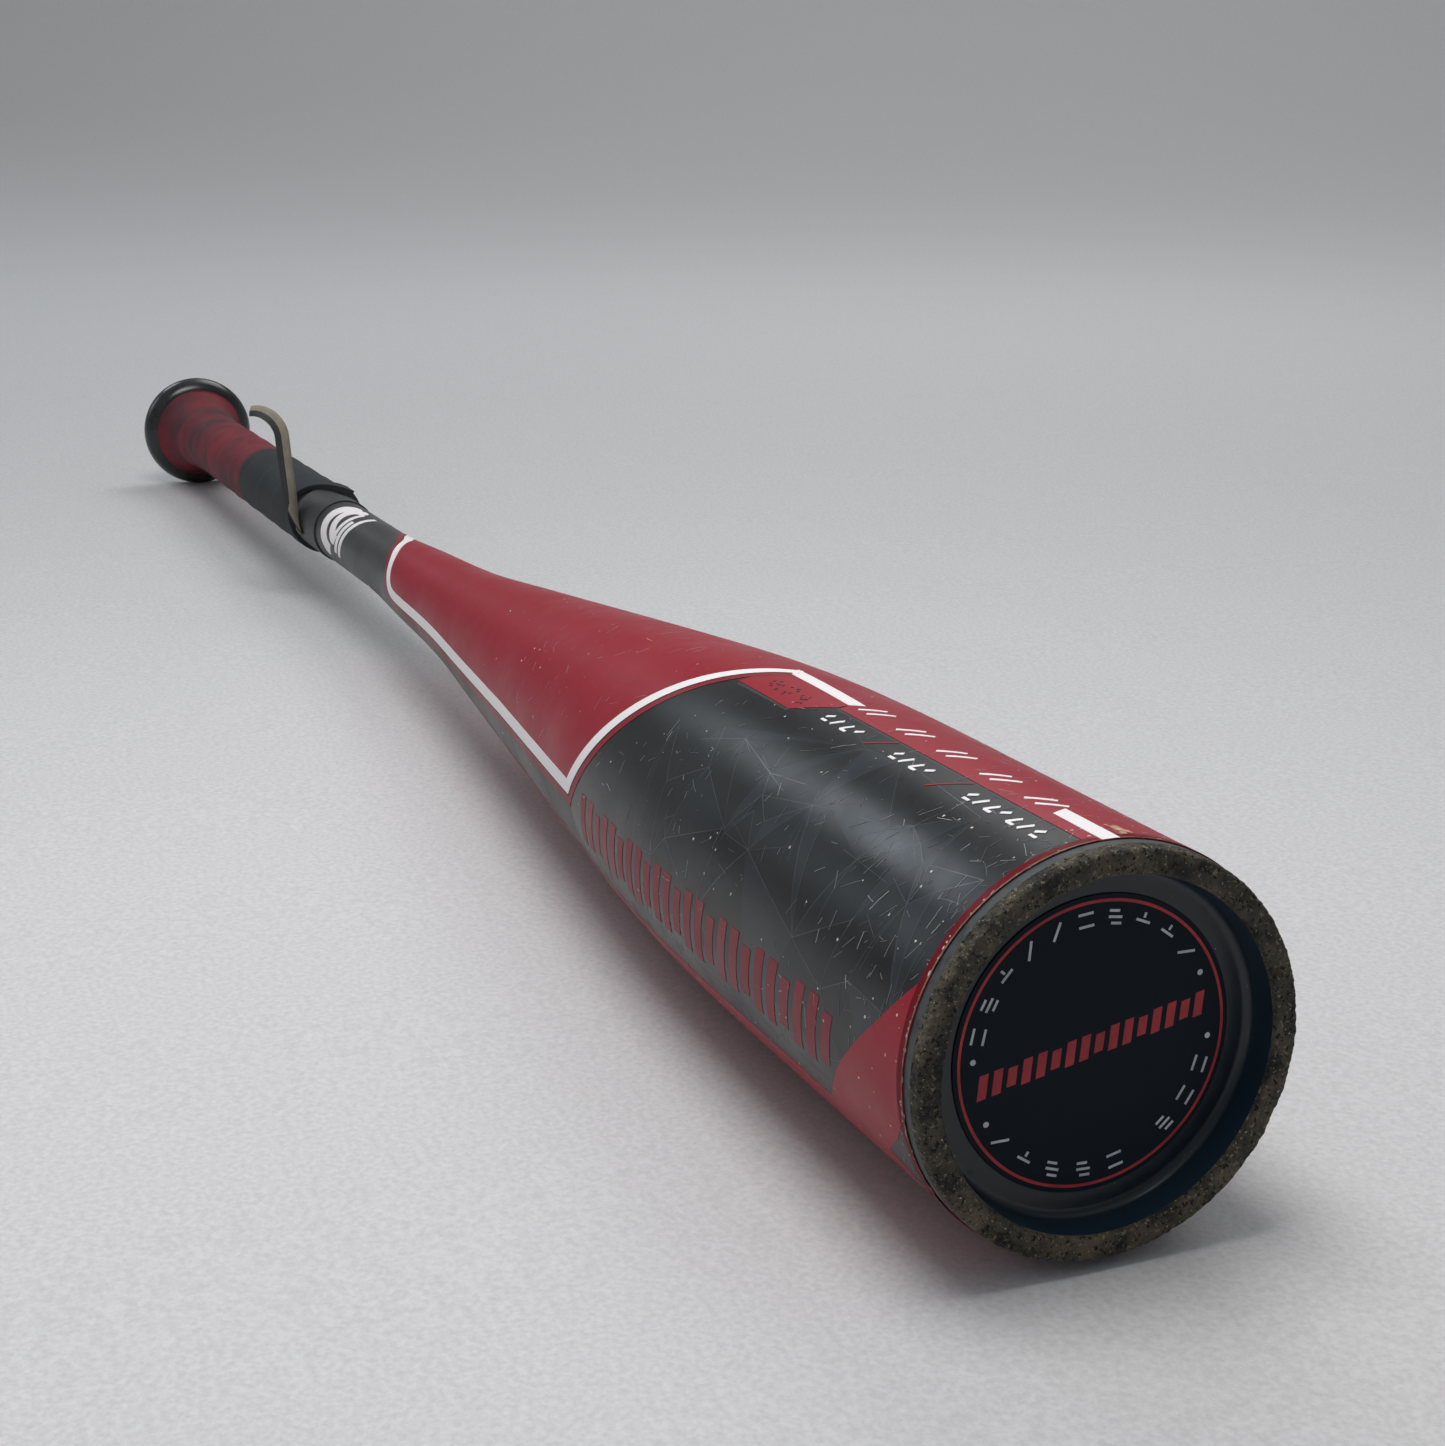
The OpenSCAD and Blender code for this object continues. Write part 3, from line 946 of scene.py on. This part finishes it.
def make_panels():
    """The black panels: a fan of faint triangles printed under the lacquer, their lighter tone faded in
    towards the cap as a painted sheen.
    """
    outline = panel_outline()
    panel, lines = Print(0.055), Print(0.072)
    stars = at((96, -36), (78, -43), (55, -42), (38, -50), (16, -47), (62, -20), (27, -29), (70, -62))
    for turn in BOTH_SIDES:
        points = [(x + random.uniform(-4, 4), a + random.uniform(-4, 4)) for x, a in stars]
        for k in range(26):
            points.append((SHELL_END - random.uniform(2, 118), random.uniform(-84, -12)))
        for k in range(9):
            points.append((SHELL_END - random.uniform(5, 150), random.uniform(-112, -84)))
        flat, faces = triangulate(points)
        tones = [random.uniform(0.0, 1.0) ** 2 for face in faces]
        sides = {tuple(sorted(pair)) for face in faces for pair in zip(face, face[1:] + face[:1])}
        creases = [(flat[i], flat[j]) for i, j in sides]

        def tone(shape, face):
            x, a = centre(shape, face)
            # Painted sheen: the facets' tone fades out away from the cap, so they show lighter only near it,
            # where the highlight falls.
            sheen_fade = min(max((x - SHELL_END + 150) / 60, 0.0), 1.0)
            for corner, value in zip(faces, tones):
                if inside([flat[k] for k in corner], x, a):
                    return value * sheen_fade
            return 0.12 * sheen_fade

        panel.lay(patch(outline, creases=creases), turn, tone)
        for start, end in creases:
            if random.random() < 0.75:
                lines.lay(ribbon([start, end], random.uniform(0.07, 0.16)), turn)
        for x, a in points[:8]:
            for k in range(random.randint(3, 6)):
                g = random.uniform(0, 2 * math.pi)
                size = random.uniform(4, 15)
                end = (min(x + size * math.cos(g), SHELL_END - 1), min(a + size * 1.7 * math.sin(g), -8))
                lines.lay(ribbon([(x, a), end], random.uniform(0.06, 0.12)), turn)
    panel.make("black_panels", PANEL_BLACK)
    lines.make("panel_fan_lines", FACET_LINE)


# ---------------------------------------------------------------- wear

def towards_cap(start, end):
    """A random distance back from the barrel's end, more often near it."""
    return start + (end - start) * random.random() ** 2.2


def make_wear():
    """Scratches, nicks and chips in the paint, closest together near the cap."""
    scratches, nicks, chips = Print(0.11, root=0.07), Print(0.14, root=0.06), Print(0.2)
    for k in range(1700):
        back = towards_cap(0.8, 230)
        x, a = SHELL_END - back, random.uniform(0, 360)
        per_degree = math.radians(1) * shell_radius(x)
        g = random.choice((random.gauss(1.5, 0.35), random.gauss(0.9, 0.5), random.uniform(0, math.pi)))
        size = random.uniform(0.6, 4.2) * (0.4 + random.random())
        bend = random.uniform(-0.07, 0.07)
        middle = (x + size / 2 * math.cos(g + bend), a + size / 2 * math.sin(g + bend) / per_degree)
        end = (x + size * math.cos(g), a + size * math.sin(g) / per_degree)
        line = [(x, a), middle, end]
        if max(p[0] for p in line) < SHELL_END - 0.3:
            scratches.lay(ribbon(line, random.uniform(0.025, 0.08)), tone=random.random() ** 1.8)
    for k in range(420):
        back = towards_cap(0.5, 260)
        nicks.lay(blot(SHELL_END - back, random.uniform(0, 360), random.uniform(0.08, 0.3)))
    for k in range(70):
        x = SHELL_END - random.uniform(0.1, 0.8)
        nicks.lay(blot(x, random.uniform(0, 360), random.uniform(0.1, 0.32), 1.7))
    knocks = ((5.5, 7.4, 1.1), (3.9, 8.2, 1.2), (2.4, 6.6, 0.8), (6.6, 6.2, 0.5), (3, 9.5, 0.6))
    for turn in BOTH_SIDES:
        for back, a, size in knocks:
            chips.lay(blot(SHELL_END - back, a, size), turn)
    scratches.make("scratches", SCRATCH)
    nicks.make("nicks", NICK)
    chips.make("chips", CHIP)


def blot(x, a, size, stretch=1.0):
    """A small ragged patch round (x, degrees)."""
    per_degree = math.radians(1) * shell_radius(x)
    count = 9
    outline = []
    for k in range(count):
        g = 2 * math.pi * k / count
        reach_out = size * random.uniform(0.55, 1.2)
        outline.append((min(x + reach_out * math.cos(g), SHELL_END - 0.05),
                        a + stretch * reach_out * math.sin(g) / per_degree))
    return outline, [tuple(range(count))]


def make_end_ring():
    """The red ring at the barrel's end, worn pink where it meets the cap."""
    ring, bare = Print(0.14), Print(0.16)
    ring.lay(ribbon([(SHELL_END - 1.1, a) for a in range(0, 360, 2)], 1.8, 1, 2, closed=True))
    bare.lay(ribbon([(SHELL_END - 0.32, a) for a in range(0, 360, 2)], 0.34, 1, 2, closed=True))
    ring.make("end_ring", RED_PAINT)
    bare.make("end_ring_bare_edge", CHIP)


def make_decal_print():
    """What is printed on the decal: a red ring, grey signs round it and a slanted band of bars."""
    red, grey = Print(0.03, on_decal), Print(0.03, on_decal)

    def circle(radius, start, end, count):
        return [(radius * math.sin(g), radius * math.cos(g))
                for g in (math.radians(start + (end - start) * k / count) for k in range(count + 1))]

    outer, inner = circle(23.45, 0, 360, 180)[:-1], circle(22.95, 0, 360, 180)[:-1]
    n = len(outer)
    red.lay((outer + inner, [(k, (k + 1) % n, n + (k + 1) % n, n + k) for k in range(n)]))

    def turned(outline, angle, radius=0.0):
        g = math.radians(angle)
        return [(x * math.cos(g) + (y + radius) * math.sin(g), -x * math.sin(g) + (y + radius) * math.cos(g))
                for x, y in outline]

    def flat(outline):
        return outline, [tuple(range(len(outline)))]

    def stroke(x0, y0, x1, y1, thick=0.42):
        way = Vector((x1 - x0, y1 - y0)).normalized()
        sx, sy = -way.y * thick / 2, way.x * thick / 2
        return [(x0 + sx, y0 + sy), (x0 - sx, y0 - sy), (x1 - sx, y1 - sy), (x1 + sx, y1 + sy)]

    signs = (
        (stroke(-1.3, 1.0, 1.3, 1.0), stroke(-1.3, -1.0, 1.3, -1.0)),
        (stroke(-1.0, -1.2, 1.0, 1.2),),
        (stroke(-1.3, 0.0, 1.3, 0.0), stroke(0.0, 0.55, 0.0, 1.4)),
        (stroke(-1.2, 1.0, 0.6, 1.0), stroke(-0.6, -1.0, 1.2, -1.0), stroke(-1.2, 0.0, 1.2, 0.0)),
    )
    places = [-77.5 + 14.3 * k for k in range(10)] + [166.4 + 15.9 * k for k in range(5)]
    places += [107.9 + 15.2 * k for k in range(3)]
    for k, angle in enumerate(places):
        upside = 90 < angle % 360 < 270
        for outline in signs[(k * 3 + k // 4) % len(signs)]:
            if upside:
                outline = [(-x, -y) for x, y in outline]
            grey.lay(flat(turned(outline, angle, 20.5)))
    for angle in (-88.7, 64.2, 94.8, 241.2):
        dot = [(0.48 * math.cos(g), 0.48 * math.sin(g)) for g in (2 * math.pi * k / 20 for k in range(20))]
        grey.lay(flat(turned(dot, angle, 20.8)))
    for corners in slanted_bars(16, 2.57, 3.9, 1.2, BAR_PATTERN):
        red.lay(flat(turned([(x - 20.8, y - 1.95) for x, y in corners], -11.5)))
    red.make("decal_red_print", DECAL_RED, "decal_film")
    grey.make("decal_grey_print", DECAL_GREY, "decal_film")


make_panels()
make_fields()
make_bands()
make_lines()
make_marks()
make_emblem()
make_end_ring()
make_wear()
make_decal_print()


# ---------------------------------------------------------------- grip and finishing tape

GRIP_THICK = 2.2
LAP_PITCH = 26.0
LAP_STEP = 0.35


def make_grip():
    """Cushioned tape wound on in overlapping laps. Its end has lifted into a flap at the top."""
    width = LAP_PITCH + 4
    start_angle = -360.0 * (width / LAP_PITCH)
    end_angle = 360.0 * (GRIP_END - GRIP_START) / LAP_PITCH
    across = [0.0, 0.012, 0.03, 0.06, 0.12, 0.22, 0.34, 0.48, 0.62, 0.76, 0.87, 0.94, 0.98, 1.0]
    step = 5.0
    points, faces = [], []
    count = int((end_angle - start_angle) / step) + 1
    row = 2 * len(across)
    for s in range(count):
        angle = start_angle + s * step
        left = GRIP_START + LAP_PITCH * angle / 360
        turn = angle % 360
        away = (turn + 180) % 360 - 180
        flap = math.exp(-((away - 34) / 34) ** 2)
        limit = GRIP_END + 17.5 * flap - 6.0 * math.exp(-((away + 60) / 40) ** 2)
        top, bottom = [], []
        for k, share in enumerate(across):
            x = left + width * share
            x = min(max(x, GRIP_START + 0.02 * k), limit - 0.02 * (len(across) - k))
            wound = collar_radius(x) + 0.05
            edge = min(1.0, share / 0.05) ** 0.5 * min(1.0, (1 - share) / 0.05 + 0.3)
            lifted = 1.3 * flap * min(max((x - GRIP_END + 14) / 20, 0.0), 1.0)
            thick = GRIP_THICK - LAP_STEP * min(share * width / LAP_PITCH, 1.0)
            soft = 0.12 * noise.noise(Vector((x * 0.12, angle * 0.02, 3.0)))
            body = wound + lifted + (thick + soft) * (0.55 + 0.45 * edge)
            top.append(round_bat(x, body, angle))
            bottom.append(round_bat(x, wound + lifted * 0.8, angle))
        points += top + bottom[::-1]
        if s:
            faces += strip(row, (s - 1) * row, s * row)
    faces.append(tuple(range(row))[::-1])
    faces.append(tuple((count - 1) * row + k for k in range(row)))
    return piece("grip_winding", points, faces, [GRIP_WRAP], ["grip_tape"],
                 sharp=math.radians(50))


TAPE_THICK = 0.6
TAIL_WIDTH = 10.0
TAIL_X = GRIP_END + 6
TAIL_GAP = 0.06
TAIL_SIDE = HANDLE_R + TAPE_THICK / 2 + TAIL_GAP
TAIL_FOOT = -4.0
TAIL_CURL_Z = 30.0
TAIL_CURL_R = 10.0
TAIL_CURL = math.radians(100)
TAIL_TWIST = 37.0
TAIL_LEAN = math.radians(4.5)


def tail_section(t):
    """Middle, width and face directions of the loose tail at a share of its length."""
    straight = TAIL_CURL_Z - TAIL_FOOT
    run = t * (straight + TAIL_CURL_R * TAIL_CURL)
    bend = max(0.0, run - straight) / TAIL_CURL_R
    up = min(run, straight) + TAIL_CURL_R * math.sin(bend)
    turn = math.radians(TAIL_TWIST * min(1.0, 4 * t))
    across = Vector((-math.cos(turn), math.sin(turn), 0))
    out = Vector((-math.sin(turn), -math.cos(turn), 0))
    face = out * math.cos(bend) - Vector((0, 0, math.sin(bend)))
    middle = Vector((TAIL_X, -TAIL_SIDE - up * math.tan(TAIL_LEAN), TAIL_FOOT + up))
    return middle + out * TAIL_CURL_R * (1 - math.cos(bend)), across, face


def make_finish_tape():
    """The thin tape over the grip's end: a band on the handle and its loose, curled tail."""
    inner, outer = HANDLE_R + 0.02, HANDLE_R + TAPE_THICK
    soft = 0.15
    band = [(GRIP_END + 0.02, inner), (GRIP_END + 0.02, outer - soft), (GRIP_END + soft, outer)]
    band += [(GRIP_END + (BAND_END - GRIP_END) * k / 8, outer) for k in range(1, 8)]
    band += [(BAND_END - soft, outer), (BAND_END, outer - soft), (BAND_END, inner)]
    points, faces = lathe(band, 96)
    picks = [0] * len(faces)
    across = [-1, -0.96, -0.6, -0.2, 0.2, 0.6, 0.96, 1]
    full_cup, outside_slot, inside_slot = math.radians(84), 0, 1
    count, row, first = 64, 2 * len(across), len(points)
    for s in range(count + 1):
        middle, side, face = tail_section(s / count)
        cup = full_cup * min(1.0, 3.5 * s / count)
        outside, inside_face = [], []
        for k in across:
            swing = cup * k
            arm = TAIL_WIDTH / 2 / max(cup, 0.01)
            spot = middle + side * (arm * math.sin(swing)) - face * (arm * (math.cos(swing) - 1))
            normal = face * math.cos(swing) + side * math.sin(swing)
            half = TAPE_THICK / 2 * (0.7 if abs(k) == 1 else 1)
            outside.append(spot - normal * half)
            inside_face.append(spot + normal * half)
        points += outside + inside_face[::-1]
        if s:
            base = first + (s - 1) * row
            for k in range(row):
                faces.append((base + k, base + row + k, base + row + (k + 1) % row, base + (k + 1) % row))
                picks.append(outside_slot if k >= len(across) - 1 else inside_slot)
    faces.append(tuple(first + k for k in range(row)))
    faces.append(tuple(first + count * row + k for k in range(row))[::-1])
    picks += [0, 0]
    return piece("finish_tape_wound", points, faces, [TAPE_DARK, TAPE_TAN],
                 ["finish_tape"], picks)


make_grip()
make_finish_tape()


# ---------------------------------------------------------------- finishes of the CAD pieces that stay

def finish_node(name, material):
    """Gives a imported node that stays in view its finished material."""
    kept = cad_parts[name]
    kept.material_slots[0].material = material


finish_node("knob_weld", WELD_METAL)
finish_node("knob_plug", PLUG_RUBBER)
finish_node("knob_badge", BADGE_FILM)
finish_node("cap_bond", ADHESIVE)


# ---------------------------------------------------------------- floor, light and camera

def make_floor():
    """A pale floor the bat lies on, that rises into a rim far away on every side."""
    knob_x, slope = 7.0, 0.01608  # where the knob touches down, and the bat's rise from there
    middle_x = RIM_X / 2
    flat_r, rise_run, rise, rings, segments = 900.0, 5600.0, 4600.0, 40, 96
    profile = [(500.0, 0.0), (flat_r, 0.0)]
    profile += [(flat_r + rise_run * k / rings, rise * (k / rings) ** 3) for k in range(1, rings + 1)]
    points, faces = [Vector((middle_x, 0, 0))], []
    for out, up in profile:
        points += [Vector((middle_x + out * math.cos(g), out * math.sin(g), up))
                   for g in (2 * math.pi * k / segments for k in range(segments))]
    for k in range(segments):
        n = (k + 1) % segments
        faces.append((0, 1 + k, 1 + n))
        for ring in range(len(profile) - 1):
            low, high = 1 + ring * segments, 1 + (ring + 1) * segments
            faces.append((low + k, high + k, high + n, low + n))
    down = -KNOB_R - slope * (middle_x - knob_x)
    tilted = [Vector((p.x, p.y, p.z + down - slope * (p.x - middle_x))) for p in points]
    paper = Finish("floor_paper", (204, 203, 205), 0.75, Specular_IOR_Level=0.25)
    fibre = paper.group(MOTTLE, Scale=800.0, Share=0.5, One=(203, 202, 203), Other=(219, 218, 219))
    paper.colour = fibre["Colour"]
    paper.uneven(900.0, 0.1)
    put("floor", make_mesh("floor", tilted, faces, [paper.done()]))


def make_light(name, place, aim, size, power, colour):
    """A round soft light, placed and aimed in millimetres."""
    lamp = bpy.data.lights.new(name, "AREA")
    lamp.shape = "DISK"
    lamp.size = size * MM
    lamp.energy = power
    lamp.color = colour
    made = put(name, lamp)
    made.location = Vector(place) * MM
    made.rotation_euler = (Vector(aim) - Vector(place)).to_track_quat("-Z", "Y").to_euler()
    made.visible_camera = False


def make_studio():
    """Soft light from above on the near side, with a pale sky all round."""
    scene = bpy.context.scene
    scene.view_settings.view_transform = "Standard"
    world = bpy.data.worlds.new("sky")
    scene.world = world
    world.use_nodes = True
    back = world.node_tree.nodes["Background"]
    back.inputs["Color"].default_value = (0.93, 0.97, 1.0, 1.0)
    back.inputs["Strength"].default_value = 0.34
    make_light("key_light", (660, -110, 720), (660, -100, 0), 450, 3.5, (1.0, 0.99, 0.98))
    make_light("far_light", (-400, 700, 1100), (-300, 600, 0), 900, 4.4, (1.0, 1.0, 1.0))
    make_light("back_light", (-1900, 1300, 2000), (-1900, 1300, 0), 1500, 7.0, (1.0, 1.0, 1.0))
    make_light("high_window", (-1290, -500, 1275), (RIM_X, 0, 0), 600, 3.6, (0.82, 0.92, 1.0))
    make_light("low_window", (-1076, -1390, 890), (RIM_X, 0, 0), 700, 2.4, (0.8, 0.91, 1.0))


def make_camera():
    """A long lens close to the cap, looking along the bat towards its knob."""
    lens = bpy.data.cameras.new("camera")
    lens.sensor_width = 36.0
    lens.sensor_fit = "HORIZONTAL"
    lens.lens = 57.58
    lens.clip_start = 0.01
    camera = put("camera", lens)
    camera.location = Vector((RIM_X + 274.7, -178.5, 138.4)) * MM
    camera.rotation_euler = (math.radians(75.055), 0.0, math.radians(67.359))
    bpy.context.scene.camera = camera


make_floor()
make_studio()
make_camera()
